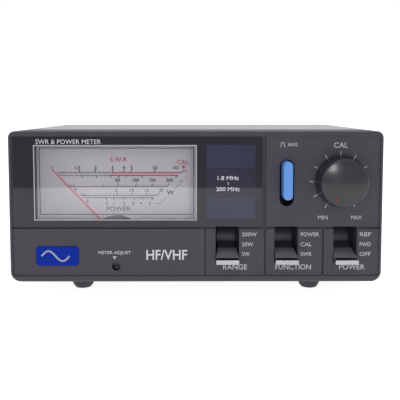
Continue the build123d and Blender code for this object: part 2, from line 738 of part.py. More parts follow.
def make_moving_coil():
    """Rectangular coil around the magnet, with a pointed staff at each end that runs in a jewel."""
    side_r = 6.2
    wire = 1.0
    with BuildPart() as coil:
        with BuildSketch(swung(14.6)):
            Rectangle(2 * (side_r + wire), 3.0)
        extrude(amount=-10.8)
        with BuildSketch(swung(15.6)):
            Rectangle(2 * side_r, 4.0)
        extrude(amount=-8.8, mode=Mode.SUBTRACT)
        centre = (METER_X, PIVOT_Z)
        add(turned(centre, [(9.1, 0), (9.3, 0.25), (9.7, 0.3), (9.9, 0.6), (14.7, 0.6), (14.7, 0)]))
        add(turned(centre, [(25.3, 0), (25.3, 0.6), (25.6, 0.6), (25.75, 0.3), (26.1, 0.25), (26.3, 0)]))
    return coil.part


def make_pointer():
    """A thin blade from the staff to its tip, with a short tail that balances it."""
    thickness = 0.35
    half_w = 0.28
    tail = 6.0
    with BuildPart() as pointer:
        with BuildSketch(swung(POINTER_DEPTH)):
            with BuildLine():
                Polyline((-half_w * 1.5, 0), (-half_w * 0.7, POINTER_LENGTH),
                         (half_w * 0.7, POINTER_LENGTH),
                         (half_w * 1.5, 0), (half_w * 1.5, -tail), (-half_w * 1.5, -tail), close=True)
            make_face()
            Circle(1.5)
            Circle(0.6, mode=Mode.SUBTRACT)
        extrude(amount=-thickness)
    return pointer.part


def make_zero_screw():
    """Slotted adjuster in the lens with an offset pin at its back."""
    centre = (METER_X, ZERO_SCREW_Z)
    with BuildPart() as screw:
        add(turned(centre, [(2.5, 0), (2.5, 1.4), (6.4, 1.4), (6.4, 1.9), (6.9, 1.9), (6.9, 0)]))
        with BuildSketch(face(2.5)):
            with Locations(centre):
                Rectangle(3.4, 0.5)
        extrude(amount=-0.8, mode=Mode.SUBTRACT)
        extrude(discs(6.9, 0.4, [(METER_X, ZERO_SCREW_Z + ZERO_PIN_OFFSET)]), amount=-1.3)
    return screw.part


def make_zero_arm():
    """Flat arm that turns on the front jewel screw and ends in a fork around the offset pin."""
    pin_z = ZERO_SCREW_Z + ZERO_PIN_OFFSET
    with BuildPart() as arm:
        with BuildSketch(face(7.5)):
            with Locations((METER_X, PIVOT_Z)):
                Circle(2.4)
            with Locations((METER_X, (pin_z - 1.6 + PIVOT_Z) / 2)):
                Rectangle(2.4, PIVOT_Z - pin_z + 1.6)
            with Locations((METER_X, pin_z)):
                SlotOverall(3.4, 1.1, rotation=90, mode=Mode.SUBTRACT)
            with Locations((METER_X, PIVOT_Z)):
                Circle(1.2 + RUN_FIT, mode=Mode.SUBTRACT)
        extrude(amount=-0.45)
    return arm.part


def make_hairsprings():
    """Flat spirals in front of the coil that return the pointer."""
    with BuildPart() as springs:
        for depth in (14.0, 13.2):
            with BuildSketch(face(depth)):
                with Locations((METER_X, PIVOT_Z)):
                    for radius in (1.6, 2.5, 3.4):
                        Circle(radius)
                        Circle(radius - 0.2, mode=Mode.SUBTRACT)
                    Rectangle(0.3, 6.6)
                    Circle(0.6, mode=Mode.SUBTRACT)
            extrude(amount=-0.3)
    return springs.part


def make_dial_lamps():
    """Two lamps at the top of the meter behind the edge of the dial, on small boards."""
    with BuildPart() as lamps:
        for x in (METER_X - 18.0, METER_X + 18.0):
            board = spanned(15.0, x - 4.0, x + 4.0, 54.6, 57.9)
            extrude(board, amount=-0.8)
            with BuildSketch(face(13.4)):
                with Locations((x, 56.2)):
                    Circle(1.4)
            extrude(amount=-1.6)
    return lamps.part


def make_socket_shell(x):
    """Coaxial socket with a square flange and a round barrel, drawn smooth at its thread's major size."""
    flange_front = BODY_D
    barrel_end = BODY_D + SOCKET_OUT
    with BuildPart() as shell:
        with BuildSketch(face(flange_front)):
            with Locations((x, SOCKET_Z)):
                RectangleRounded(FLANGE_W, FLANGE_W, 1.5)
        extrude(amount=-FLANGE_T)
        extrude(discs(flange_front, BARREL_R, [(x, SOCKET_Z)]), amount=-SOCKET_OUT)
        chamfer(shell.faces().sort_by(Axis.Y)[-1].edges(), length=0.4)
        extrude(discs(flange_front, 7.6, [(x, SOCKET_Z)]), amount=2.0)
        extrude(discs(flange_front - 2.0, 6.2, [(x, SOCKET_Z)]), amount=-SOCKET_OUT - 2.0,
                mode=Mode.SUBTRACT)
        places = [(px, pz) for px, pz in socket_screw_places() if abs(px - x) < FLANGE_W]
        extrude(discs(flange_front, FLANGE_SCREW_R, places), amount=-FLANGE_T, mode=Mode.SUBTRACT)
        with BuildSketch(face(barrel_end)):
            with Locations((x, SOCKET_Z)):
                with PolarLocations(BARREL_R - 0.8, 4):
                    Rectangle(2.2, 1.4)
        extrude(amount=0.8, mode=Mode.SUBTRACT)
    return shell.part


def make_socket_insulator(x):
    front = BODY_D - 4.0
    with BuildPart() as insulator:
        extrude(discs(front, 6.2, [(x, SOCKET_Z)]), amount=-(4.0 + SOCKET_OUT - 3.5))
        extrude(discs(front, CONTACT_R, [(x, SOCKET_Z)]), amount=-(4.0 + SOCKET_OUT), mode=Mode.SUBTRACT)
    return insulator.part


def make_socket_contact(x):
    """Tubular centre contact with a solder end inside the coupler box."""
    with BuildPart() as contact:
        extrude(discs(BODY_D - 10.0, CONTACT_R, [(x, SOCKET_Z)]), amount=-(10.0 + SOCKET_OUT - 3.0))
        extrude(discs(BODY_D - 2.0, CONTACT_BORE_R, [(x, SOCKET_Z)]), amount=-(2.0 + SOCKET_OUT),
                mode=Mode.SUBTRACT)
    return contact.part


def make_rf_flange_screws():
    head_depth = BODY_D + FLANGE_T
    with BuildPart() as screws:
        for place in socket_screw_places():
            add(pan_screw(place, head_depth, 2.7, 1.9, FLANGE_SCREW_R, 8.0))
    return screws.part


def make_rf_flange_nuts():
    nut_back = BODY_D - SHEET - 0.8
    with BuildPart() as nuts:
        with BuildSketch(face(nut_back)):
            with Locations(*socket_screw_places()):
                RegularPolygon(2.7, 6, major_radius=False)
                Circle(FLANGE_SCREW_R, mode=Mode.SUBTRACT)
        extrude(amount=2.2)
    return nuts.part


def make_sensor_box():
    """Tin-plate box behind the sockets, open towards the front."""
    back = BODY_D - SHEET
    front = back - BOX_D
    wall = 0.8
    with BuildPart() as box:
        extrude(spanned(front, -BOX_HALF_W, BOX_HALF_W, SOCKET_Z - BOX_HALF_H, SOCKET_Z + BOX_HALF_H),
                amount=-BOX_D)
        inner = spanned(front, wall - BOX_HALF_W, BOX_HALF_W - wall,
                        SOCKET_Z - BOX_HALF_H + wall, SOCKET_Z + BOX_HALF_H - wall)
        extrude(inner, amount=wall - BOX_D, mode=Mode.SUBTRACT)
        extrude(discs(back, 8.0, [(-SOCKET_X, SOCKET_Z), (SOCKET_X, SOCKET_Z)]), amount=wall,
                mode=Mode.SUBTRACT)
        extrude(discs(back, FLANGE_SCREW_R, socket_screw_places()), amount=wall, mode=Mode.SUBTRACT)
    return box.part


def make_sensor_box_lid():
    front = BODY_D - SHEET - BOX_D
    lip = 0.5
    with BuildPart() as lid:
        extrude(spanned(front, -BOX_HALF_W, BOX_HALF_W, SOCKET_Z - BOX_HALF_H, SOCKET_Z + BOX_HALF_H),
                amount=lip)
        with BuildSketch(face(front)):
            for x in (-30, -10, 10, 30):
                with Locations((x, SOCKET_Z)):
                    Circle(2.0)
        extrude(amount=lip, mode=Mode.SUBTRACT)
    return lid.part


def make_coupler_line():
    """Brass line between the two centre contacts."""
    depth = BODY_D - 12.0
    with BuildPart() as line:
        with BuildSketch(Plane(origin=(-SOCKET_X - 3.0, FRONT_Y + depth, FOOT_H + SOCKET_Z),
                               z_dir=(1, 0, 0))):
            Circle(2.0)
        extrude(amount=2 * SOCKET_X + 6.0)
    return line.part


def make_coupler_toroids():
    """Two ferrite rings around the line, for the forward and the reflected wave."""
    depth = BODY_D - 12.0
    with BuildPart() as toroids:
        for x in (-8.0, 8.0):
            with BuildSketch(Plane(origin=(x - 2.5, FRONT_Y + depth, FOOT_H + SOCKET_Z),
                                   z_dir=(1, 0, 0))):
                Circle(6.0)
                Circle(2.4, mode=Mode.SUBTRACT)
            extrude(amount=5.0)
    return toroids.part


def make_sensor_board():
    with BuildPart() as board:
        plane = level(SOCKET_Z - BOX_HALF_H + 0.8)
        with BuildSketch(plane):
            with Locations((0, FRONT_Y + BODY_D - SHEET - 13.5)):
                Rectangle(60.0, 20.0)
        extrude(amount=1.6)
        with BuildSketch(plane.offset(1.6)):
            with Locations((0, FRONT_Y + BODY_D - SHEET - 18.5)):
                with GridLocations(9.0, 0, 6, 1):
                    Rectangle(3.2, 2.4)
        extrude(amount=1.8)
    return board.part


def make_dc_jack():
    """Barrel jack for the lamp supply, with its centre pin and the nut behind the back panel."""
    with BuildPart() as jack:
        extrude(discs(BODY_D, 5.4, [(JACK_X, JACK_Z)]), amount=-1.8)
        extrude(discs(BODY_D - 14.0, 4.0, [(JACK_X, JACK_Z)]), amount=-14.0)
        extrude(discs(BODY_D - 8.0, JACK_BORE_R, [(JACK_X, JACK_Z)]), amount=-9.8, mode=Mode.SUBTRACT)
        extrude(discs(BODY_D - 9.0, JACK_PIN_R, [(JACK_X, JACK_Z)]), amount=-10.0)
        with BuildSketch(face(BODY_D - SHEET)):
            with Locations((JACK_X, JACK_Z)):
                RegularPolygon(6.0, 6, major_radius=False)
                Circle(4.0, mode=Mode.SUBTRACT)
        extrude(amount=2.0)
    return jack.part


def make_control_board():
    with BuildPart() as board:
        extrude(spanned(BOARD_DEPTH, *BOARD_X, *BOARD_Z, 1.0), amount=-BOARD_T)
        extrude(discs(BOARD_DEPTH, 1.25, board_screw_places()), amount=-BOARD_T, mode=Mode.SUBTRACT)
    return board.part


def make_board_standoffs():
    start = BEZEL_D + SHEET
    with BuildPart() as standoffs:
        extrude(discs(start, 2.5, board_screw_places()), amount=start - BOARD_DEPTH)
        extrude(discs(start, 1.25, board_screw_places()), amount=start - BOARD_DEPTH, mode=Mode.SUBTRACT)
    return standoffs.part


def make_board_parts():
    """Trimmers, capacitors and the operational amplifier on the back of the control board."""
    back = BOARD_DEPTH + BOARD_T
    with BuildPart() as parts:
        for row in range(4):
            x = 16.0 + 9.0 * row
            extrude(spanned(back, x - 3.4, x + 3.4, 44.0, 50.8, 0.5), amount=-4.6)
        for x in (54.0, 62.0):
            extrude(discs(back, 3.1, [(x, 17.0)]), amount=-9.0)
        extrude(spanned(back, 24.0, 34.0, 26.0, 32.4), amount=-3.6)
        extrude(spanned(back, 40.0, 60.0, 36.0, 40.0), amount=-6.0)
    return parts.part


def make_all():
    os.makedirs("parts", exist_ok=True)
    save(make_front_bezel(), "front_bezel")
    save(make_meter_window(), "meter_window")
    save(make_badge_plate(), "badge_plate")
    save(make_top_cover(), "top_cover")
    save(make_bottom_chassis(), "bottom_chassis")
    save(make_rubber_feet(), "rubber_feet")
    save(make_cover_screws(), "cover_screws")
    save(make_bezel_screws(), "bezel_screws")
    save(make_cal_knob(), "cal_knob")
    save(make_cal_pot_shaft(), "cal_pot_shaft")
    save(make_cal_pot_body(), "cal_pot_body")
    save(make_cal_pot_nut(), "cal_pot_nut")
    save(make_avg_button(), "avg_button")
    save(make_avg_plunger(), "avg_plunger")
    save(make_avg_switch_body(), "avg_switch_body")
    for name, x in zip(LEVER_NAMES, LEVER_X):
        save(make_lever_arm(x), f"{name}_lever_arm")
        save(make_lever_knob(x), f"{name}_lever_knob")
        save(make_lever_tip(x), f"{name}_lever_tip")
        save(make_lever_switch_body(x), f"{name}_switch_body")
    save(make_lever_pins(), "lever_pins")
    save(make_meter_case(), "meter_case")
    save(make_meter_lens(), "meter_lens")
    save(make_ear_screws(), "meter_ear_screws")
    save(make_meter_studs(), "meter_studs")
    save(make_dial_plate(), "dial_plate")
    save(make_pivot_cover(), "pivot_cover")
    save(make_pivot_bridge(), "pivot_bridge")
    save(make_meter_yoke(), "meter_yoke")
    save(make_meter_magnet(), "meter_magnet")
    save(make_moving_coil(), "moving_coil")
    save(make_pointer(), "pointer")
    save(make_zero_screw(), "zero_screw")
    save(make_zero_arm(), "zero_arm")
    save(make_hairsprings(), "hairsprings")
    save(make_dial_lamps(), "dial_lamps")
    for name, x in (("tx", SOCKET_X), ("antenna", -SOCKET_X)):
        save(make_socket_shell(x), f"{name}_socket_shell")
        save(make_socket_insulator(x), f"{name}_socket_insulator")
        save(make_socket_contact(x), f"{name}_socket_contact")
    save(make_rf_flange_screws(), "rf_flange_screws")
    save(make_rf_flange_nuts(), "rf_flange_nuts")
    save(make_sensor_box(), "sensor_box")
    save(make_sensor_box_lid(), "sensor_box_lid")
    save(make_coupler_line(), "coupler_line")
    save(make_coupler_toroids(), "coupler_toroids")
    save(make_sensor_board(), "sensor_board")
    save(make_dc_jack(), "dc_jack")
    save(make_control_board(), "control_board")
    save(make_board_standoffs(), "board_standoffs")
    save(make_board_parts(), "board_parts")


make_all()
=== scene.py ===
import json
import math

import bmesh
import bpy
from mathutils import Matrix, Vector


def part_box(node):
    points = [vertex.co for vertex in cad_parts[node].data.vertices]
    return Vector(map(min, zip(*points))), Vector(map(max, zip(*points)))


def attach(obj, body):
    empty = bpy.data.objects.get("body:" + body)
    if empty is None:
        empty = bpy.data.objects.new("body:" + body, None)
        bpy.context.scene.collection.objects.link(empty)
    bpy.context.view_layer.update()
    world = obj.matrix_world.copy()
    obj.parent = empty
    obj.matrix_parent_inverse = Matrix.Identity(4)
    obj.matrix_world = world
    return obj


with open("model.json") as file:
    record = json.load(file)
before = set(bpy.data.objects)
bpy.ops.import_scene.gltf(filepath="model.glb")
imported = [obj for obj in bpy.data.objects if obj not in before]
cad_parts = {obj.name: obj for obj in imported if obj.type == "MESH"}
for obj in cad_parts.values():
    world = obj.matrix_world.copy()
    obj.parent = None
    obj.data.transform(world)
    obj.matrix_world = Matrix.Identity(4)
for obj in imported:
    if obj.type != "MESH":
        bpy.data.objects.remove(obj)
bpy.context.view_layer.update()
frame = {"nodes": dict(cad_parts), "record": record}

MM = 0.001
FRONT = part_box("front_bezel")[0].y
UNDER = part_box("front_bezel")[0].z
# How far each layer of print stands in front of what it lies on, in millimetres.
PROUD = 0.03

# Depths behind the front, in millimetres; what stands in front of it is negative.
FIELD = 0.5
BADGE = 0.1
KNOB_FACE = -7.0
GLASS = 0.3
LENS = 3.2
DIAL = 12.0
REAR = 103.0

# The meter's pivot, the window's clear part and its whole face, the last two as left, bottom, right and top.
# All are millimetres across and above the body's underside.
PIVOT = (-33.3, 16.5)
CLEAR = (-66.9, 26.1, 0.3, 57.3)
MASK = (-75.55, 23.55, 27.35, 60.65)


def at(x, depth, z):
    """A point given in millimetres across, behind the front and above the underside."""
    return Vector((x * MM, FRONT + depth * MM, UNDER + z * MM))


# ---------------------------------------------------------------- materials


RAMP_ENDS = (0.3, 0.7)
RELIEF_STRENGTH = 0.6


class Finish:
    """A principled material whose colour, roughness and relief come from noise."""

    def __init__(self, name, dark, light, rough, patch=90.0, grain=2500.0, relief=0.00001,
                 spread=0.05, **sockets):
        self.material = bpy.data.materials.new(name)
        self.material.use_nodes = True
        self.nodes = self.material.node_tree.nodes
        self.links = self.material.node_tree.links
        self.shader = self.nodes["Principled BSDF"]
        self.place = self.nodes.new("ShaderNodeTexCoord").outputs["Object"]
        self.shader.inputs["Roughness"].default_value = rough
        for socket, value in sockets.items():
            self.shader.inputs[socket.replace("_", " ")].default_value = value
        blotch = self.noise(patch, 4.0, 0.6)
        ramp = self.nodes.new("ShaderNodeValToRGB")
        for end, position, colour in zip(ramp.color_ramp.elements, RAMP_ENDS, (dark, light)):
            end.position = position
            end.color = (*colour, 1.0)
        self.links.new(blotch, ramp.inputs["Fac"])
        self.links.new(ramp.outputs["Color"], self.shader.inputs["Base Color"])
        wear = self.nodes.new("ShaderNodeMapRange")
        wear.inputs["To Min"].default_value = max(rough - spread, 0.0)
        wear.inputs["To Max"].default_value = min(rough + spread, 1.0)
        self.links.new(self.noise(patch * 3.0, 3.0, 0.5), wear.inputs["Value"])
        self.links.new(wear.outputs["Result"], self.shader.inputs["Roughness"])
        self.bump(self.noise(grain, 2.0, 0.6), relief)

    def noise(self, scale, detail, rough):
        texture = self.nodes.new("ShaderNodeTexNoise")
        texture.inputs["Scale"].default_value = scale
        texture.inputs["Detail"].default_value = detail
        texture.inputs["Roughness"].default_value = rough
        self.links.new(self.place, texture.inputs["Vector"])
        return texture.outputs["Fac"]

    def bump(self, height, distance):
        """Adds relief of this height in metres on top of what is there."""
        relief = self.nodes.new("ShaderNodeBump")
        relief.inputs["Strength"].default_value = RELIEF_STRENGTH
        relief.inputs["Distance"].default_value = distance
        self.links.new(height, relief.inputs["Height"])
        below = self.shader.inputs["Normal"].links
        if below:
            self.links.new(below[0].from_socket, relief.inputs["Normal"])
        self.links.new(relief.outputs["Normal"], self.shader.inputs["Normal"])
        return self

    def brushed(self, stretch, scale=900.0, distance=0.000008):
        """Fine lines that run along the direction with the smallest stretch."""
        mapping = self.nodes.new("ShaderNodeMapping")
        mapping.inputs["Scale"].default_value = stretch
        self.links.new(self.place, mapping.inputs["Vector"])
        texture = self.nodes.new("ShaderNodeTexNoise")
        texture.inputs["Scale"].default_value = scale
        texture.inputs["Detail"].default_value = 2.0
        self.links.new(mapping.outputs["Vector"], texture.inputs["Vector"])
        return self.bump(texture.outputs["Fac"], distance)

    def clear(self):
        """Lets lamps reach what lies behind the pane."""
        window = self.nodes.new("ShaderNodeBsdfTransparent")
        paths = self.nodes.new("ShaderNodeLightPath")
        mix = self.nodes.new("ShaderNodeMixShader")
        self.links.new(paths.outputs["Is Shadow Ray"], mix.inputs["Fac"])
        self.links.new(self.shader.outputs["BSDF"], mix.inputs[1])
        self.links.new(window.outputs["BSDF"], mix.inputs[2])
        self.links.new(mix.outputs["Shader"], self.nodes["Material Output"].inputs["Surface"])
        return self


FINISHES = {
    "front_moulding": Finish("front_moulding", (0.045, 0.041, 0.052), (0.053, 0.048, 0.060), 0.55,
                             grain=3200.0, relief=0.00004, Specular_IOR_Level=0.34),
    "case_paint": Finish("case_paint", (0.045, 0.041, 0.051), (0.054, 0.049, 0.060), 0.26,
                         grain=1500.0, relief=0.00003, Coat_Weight=0.1, Coat_Roughness=0.3),
    "foot_rubber": Finish("foot_rubber", (0.020, 0.018, 0.022), (0.030, 0.028, 0.033), 0.62,
                          grain=2000.0, relief=0.00005),
    "black_screws": Finish("black_screws", (0.02, 0.02, 0.021), (0.045, 0.044, 0.046), 0.36,
                           Metallic=0.6),
    "zinc_steel": Finish("zinc_steel", (0.50, 0.50, 0.49), (0.66, 0.66, 0.65), 0.32, Metallic=1.0
                         ).brushed((1.0, 20.0, 1.0)),
    "knob_plastic": Finish("knob_plastic", (0.018, 0.017, 0.020), (0.025, 0.024, 0.027), 0.20,
                           grain=1800.0, relief=0.000006),
    "blue_plastic": Finish("blue_plastic", (0.085, 0.25, 0.62), (0.105, 0.285, 0.68), 0.34,
                           grain=1500.0, relief=0.00001, Subsurface_Weight=0.05),
    "white_plastic": Finish("white_plastic", (0.70, 0.70, 0.67), (0.82, 0.82, 0.79), 0.45),
    "black_plastic": Finish("black_plastic", (0.022, 0.022, 0.023), (0.036, 0.036, 0.037), 0.45),
    "brass": Finish("brass", (0.62, 0.42, 0.16), (0.74, 0.54, 0.24), 0.28, Metallic=1.0
                    ).brushed((1.0, 12.0, 1.0)),
    "dial_paint": Finish("dial_paint", (0.60, 0.575, 0.60), (0.67, 0.64, 0.665), 0.75,
                         patch=40.0, grain=5200.0, relief=0.00001),
    "soft_iron": Finish("soft_iron", (0.16, 0.16, 0.165), (0.28, 0.28, 0.28), 0.42, Metallic=0.9),
    "copper_coil": Finish("copper_coil", (0.46, 0.16, 0.07), (0.68, 0.28, 0.13), 0.34, Metallic=0.8
                          ).brushed((1.0, 0.1, 1.0), 5200.0, 0.00006),
    "pointer_red": Finish("pointer_red", (0.62, 0.035, 0.05), (0.72, 0.05, 0.06), 0.45,
                          grain=4000.0, relief=0.000005),
    "lamp_white": Finish("lamp_white", (0.80, 0.77, 0.68), (0.90, 0.87, 0.78), 0.28),
    "tin_plate": Finish("tin_plate", (0.50, 0.50, 0.50), (0.66, 0.66, 0.66), 0.34, Metallic=1.0
                        ).brushed((1.0, 14.0, 1.0)),
    "ferrite": Finish("ferrite", (0.045, 0.042, 0.043), (0.075, 0.07, 0.07), 0.6),
    "circuit_board": Finish("circuit_board", (0.018, 0.11, 0.055), (0.03, 0.16, 0.08), 0.30),
    "component_blue": Finish("component_blue", (0.03, 0.10, 0.33), (0.05, 0.15, 0.42), 0.34),
    # Painted light: the levers' grey is painted several times lighter than their plastic, so that the knobs
    # still read lit in the shade of their slots.
    "lever_grey": Finish("lever_grey", (0.150, 0.144, 0.163), (0.180, 0.173, 0.195), 0.30,
                         relief=0.000008),
    "lever_chrome": Finish("lever_chrome", (0.37, 0.365, 0.385), (0.45, 0.445, 0.465), 0.16,
                           Metallic=1.0, grain=900.0, relief=0.000004),
    "nickel": Finish("nickel", (0.60, 0.58, 0.53), (0.72, 0.70, 0.65), 0.22, Metallic=1.0
                     ).brushed((1.0, 10.0, 1.0)),
    "socket_ptfe": Finish("socket_ptfe", (0.78, 0.78, 0.75), (0.86, 0.86, 0.83), 0.42),
    "contact_gold": Finish("contact_gold", (0.68, 0.50, 0.18), (0.80, 0.62, 0.28), 0.2, Metallic=1.0),
    "badge_enamel": Finish("badge_enamel", (0.001, 0.018, 0.25), (0.002, 0.024, 0.29), 0.45,
                           grain=700.0, relief=0.000004, Specular_IOR_Level=0.08),
    "clear_acrylic": Finish("clear_acrylic", (0.955, 0.96, 0.965), (0.985, 0.985, 0.99), 0.0,
                            patch=30.0, grain=45.0, relief=0.0000001, spread=0.0,
                            Transmission_Weight=1.0, IOR=1.49).clear(),
}
INK = {"patch": 900.0, "relief": 0.000001}
# The lever arms get a darker copy of the levers' grey; with the lightened lever_grey on the knobs, the two
# are lit and shaded copies of one plastic.
LEVER_ARM_DARKER_COPY = Finish("lever_arm_darker_copy", (0.052, 0.049, 0.060), (0.068, 0.064, 0.076), 0.45, relief=0.000008)
WHITE_PRINT = Finish("white_print", (0.38, 0.37, 0.40), (0.47, 0.46, 0.49), 0.6, **INK)
BRIGHT_PRINT = Finish("bright_print", (0.52, 0.52, 0.54), (0.62, 0.62, 0.64), 0.6, **INK)
BLACK_PRINT = Finish("black_print", (0.006, 0.006, 0.008), (0.014, 0.013, 0.016), 0.7,
                     Specular_IOR_Level=0.2, **INK)
RED_PRINT = Finish("red_print", (0.46, 0.010, 0.025), (0.56, 0.018, 0.035), 0.7,
                   Specular_IOR_Level=0.2, **INK)
ROSE_PRINT = Finish("rose_print", (0.42, 0.10, 0.12), (0.50, 0.14, 0.16), 0.7, **INK)
SMOKED = Finish("smoked_print", (0.006, 0.005, 0.010), (0.010, 0.009, 0.014), 0.03, patch=40.0,
                relief=0.0000001, spread=0.01)
NIGHT_BLUE = Finish("night_blue_print", (0.016, 0.019, 0.044), (0.022, 0.026, 0.058), 0.04, patch=30.0,
                    relief=0.0000001, spread=0.01)
FRAME_PRINT = Finish("frame_print", (0.36, 0.36, 0.38), (0.46, 0.46, 0.48), 0.6, **INK)
EMBLEM = Finish("emblem_print", (0.26, 0.28, 0.36), (0.34, 0.36, 0.44), 0.5, **INK)
KNOB_RED = Finish("knob_red", (0.26, 0.006, 0.012), (0.32, 0.010, 0.016), 0.5, **INK)

SLOT_OF = {part["node"]: part["material_slot"] for part in frame["record"]["subparts"]}
for node, obj in frame["nodes"].items():
    obj.data.materials.clear()
    # Lever arms take the darker copy of the levers' grey; the rest of each lever takes the grey painted
    # lighter against the shade of its slot.
    finish = LEVER_ARM_DARKER_COPY if node.endswith("_lever_arm") else FINISHES[SLOT_OF[node]]
    obj.data.materials.append(finish.material)


# ---------------------------------------------------------------- flat print


def lettering(words, bold=0.0):
    """The words as a flat mesh in the built-in face at size 1, starting near the origin."""
    curve = bpy.data.curves.new("words", "FONT")
    curve.body = words
    curve.resolution_u = 3
    curve.offset = bold
    curve.align_x = "LEFT"
    carrier = bpy.data.objects.new("words", curve)
    bpy.context.scene.collection.objects.link(carrier)
    graph = bpy.context.evaluated_depsgraph_get()
    drawn = bpy.data.meshes.new_from_object(carrier.evaluated_get(graph))
    bpy.data.objects.remove(carrier)
    bpy.data.curves.remove(curve)
    return drawn


def cap_height():
    """Height of a capital H in the built-in face at size 1."""
    drawn = lettering("H")
    ys = [v.co.y for v in drawn.vertices]
    bpy.data.meshes.remove(drawn)
    return max(ys) - min(ys)


CAP = cap_height()


class Sheet:
    """Flat print that faces the front, drawn in millimetres at one depth."""

    def __init__(self, depth, mirrored=False):
        self.mesh = bmesh.new()
        self.depth = depth
        self.side = -1.0 if mirrored else 1.0

    def point(self, x, z):
        return self.mesh.verts.new(at(self.side * x, self.depth, z))

    def shape(self, corners):
        self.mesh.faces.new([self.point(x, z) for x, z in corners])

    def block(self, left, bottom, right, top):
        self.shape([(left, bottom), (right, bottom), (right, top), (left, top)])

    def frame(self, left, bottom, right, top, width):
        self.block(left, bottom, right, bottom + width)
        self.block(left, top - width, right, top)
        self.block(left, bottom + width, left + width, top - width)
        self.block(right - width, bottom + width, right, top - width)

    def stroke(self, start, end, width):
        along = Vector((end[0] - start[0], end[1] - start[1])).normalized()
        across = Vector((-along.y, along.x)) * width / 2
        self.shape([(start[0] - across.x, start[1] - across.y), (end[0] - across.x, end[1] - across.y),
                    (end[0] + across.x, end[1] + across.y), (start[0] + across.x, start[1] + across.y)])

    def text(self, words, x, z, cap, align="CENTER", width=None, bold=0.012):
        """Capitals cap mm high, centred on z; width squeezes or spreads the line."""
        drawn = lettering(words, bold)
        xs = [v.co.x for v in drawn.vertices]
        scale = cap / CAP
        length = (max(xs) - min(xs)) * scale
        stretch = width / length if width else 1.0
        length *= stretch
        start = x if align == "LEFT" else x - length / 2
        verts = [self.point(start + (v.co.x - min(xs)) * scale * stretch, z - cap / 2 + v.co.y * scale)
                 for v in drawn.vertices]
        for face in drawn.polygons:
            corners = [verts[i] for i in face.vertices]
            if len(set(corners)) > 2:
                self.mesh.faces.new(corners)
        bpy.data.meshes.remove(drawn)

    def piece(self, name, finish, body="housing"):
        """Makes the print an object of this name, which moves with the body."""
        data = bpy.data.meshes.new(name)
        self.mesh.normal_update()
        self.mesh.to_mesh(data)
        self.mesh.free()
        obj = bpy.data.objects.new(name, data)
        data.materials.append(finish.material)
        bpy.context.scene.collection.objects.link(obj)
        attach(obj, body)


# ---------------------------------------------------------------- front panel

LEVER_X = (13.05, 37.5, 62.1)
LEVER_WORDS = (("200W", "20W", "5W"), ("POWER", "CAL", "SWR"), ("REF", "FWD", "OFF"))
LEVER_ROWS = (20.1, 15.9, 11.8)
LEVER_TITLES = (("RANGE", 11.25, 21.3), ("FUNCTION", 33.1, 48.0), ("POWER", 59.7, 70.4))
CAL_CENTRE = Vector((59.75, 42.2))
TICK_START = 11.05
# Each tick round the knob as its angle from the top and the radius at which it ends.
CAL_TICKS = ((-150, 12.7), (-120, 12.7), (-90, 12.7), (-60, 12.7), (-30, 12.7), (0, 12.7),
             (30, 12.7), (60, 12.6), (90, 11.7), (120, 11.8), (150, 12.2))
# The pulse sign beside AVG.
PULSE = (((34.6, 56.7), (35.1, 56.7)), ((35.1, 56.7), (35.1, 58.3)), ((35.0, 58.3), (36.5, 58.3)),
         ((36.4, 58.3), (36.4, 56.7)), ((36.4, 56.7), (36.9, 56.7)))

legends = Sheet(FIELD - PROUD)
legends.text("CAL", 59.7, 57.3, 2.1, width=5.8)
for turn, tick_end in CAL_TICKS:
    outward = Vector((math.sin(math.radians(turn)), math.cos(math.radians(turn))))
    legends.stroke(CAL_CENTRE + outward * TICK_START, CAL_CENTRE + outward * tick_end, 0.32)
legends.text("MIN", 52.6, 27.2, 1.5, width=4.0)
legends.text("MAX", 66.6, 27.2, 1.5, width=4.5)
legends.text("AVG", 39.8, 57.5, 1.45, width=4.1)
for start, end in PULSE:
    legends.stroke(start, end, 0.26)
for x, words in zip(LEVER_X, LEVER_WORDS):
    for word, z in zip(words, LEVER_ROWS):
        legends.text(word, x + 6.05, z, 1.6, align="LEFT", width=1.45 * len(word) + 0.35)
for words, left, right in LEVER_TITLES:
    legends.text(words, (left + right) / 2, 6.35, 2.1, width=right - left)
legends.text("METER ADJUST", -33.9, 12.45, 1.25, width=13.6, bold=0.02)
legends.shape([(-34.75, 10.9), (-33.9, 9.4), (-33.05, 10.9)])
legends.piece("panel_legends", WHITE_PRINT)

band = Sheet(FIELD - PROUD)
band.text("HF/VHF", -12.2, 11.5, 4.0, width=17.0, bold=0.015)
band.piece("panel_band_legend", BRIGHT_PRINT)

# A single sine wave on the badge.
WAVE_START = (-64.2, 11.1)
WAVE_HEIGHT = 2.1
WAVE_STEP = 0.4
WAVE_STEPS = 29
emblem = Sheet(BADGE - PROUD)
wave = [(WAVE_START[0] + WAVE_STEP * i, WAVE_START[1] + WAVE_HEIGHT * math.sin(2 * math.pi * i / WAVE_STEPS))
        for i in range(WAVE_STEPS + 1)]
for start, end in zip(wave, wave[1:]):
    emblem.stroke(start, end, 0.75)
emblem.piece("badge_emblem", EMBLEM)

marker = Sheet(KNOB_FACE)
marker.shape([(56.1, 34.9), (57.0, 34.8), (56.9, 36.2)])
marker.piece("knob_marker", KNOB_RED, body="cal")


# ---------------------------------------------------------------- window print

title = Sheet(GLASS - PROUD * 2)
title.text("SWR & POWER METER", -52.5, 58.7, 1.85, width=26.9, bold=0.0)
title.piece("window_title", BRIGHT_PRINT)

mask = Sheet(GLASS - PROUD)
mask.block(MASK[0], MASK[1], CLEAR[0], MASK[3])
mask.block(CLEAR[2], MASK[1], MASK[2], MASK[3])
mask.block(CLEAR[0], MASK[1], CLEAR[2], CLEAR[1])
mask.block(CLEAR[0], CLEAR[3], CLEAR[2], MASK[3])
mask.piece("window_mask", SMOKED)

edge = Sheet(GLASS - PROUD * 2)
edge.frame(CLEAR[0] - 0.05, CLEAR[1] - 0.05, CLEAR[2] + 0.05, CLEAR[3] + 0.05, 0.4)
edge.piece("window_edge_line", FRAME_PRINT)

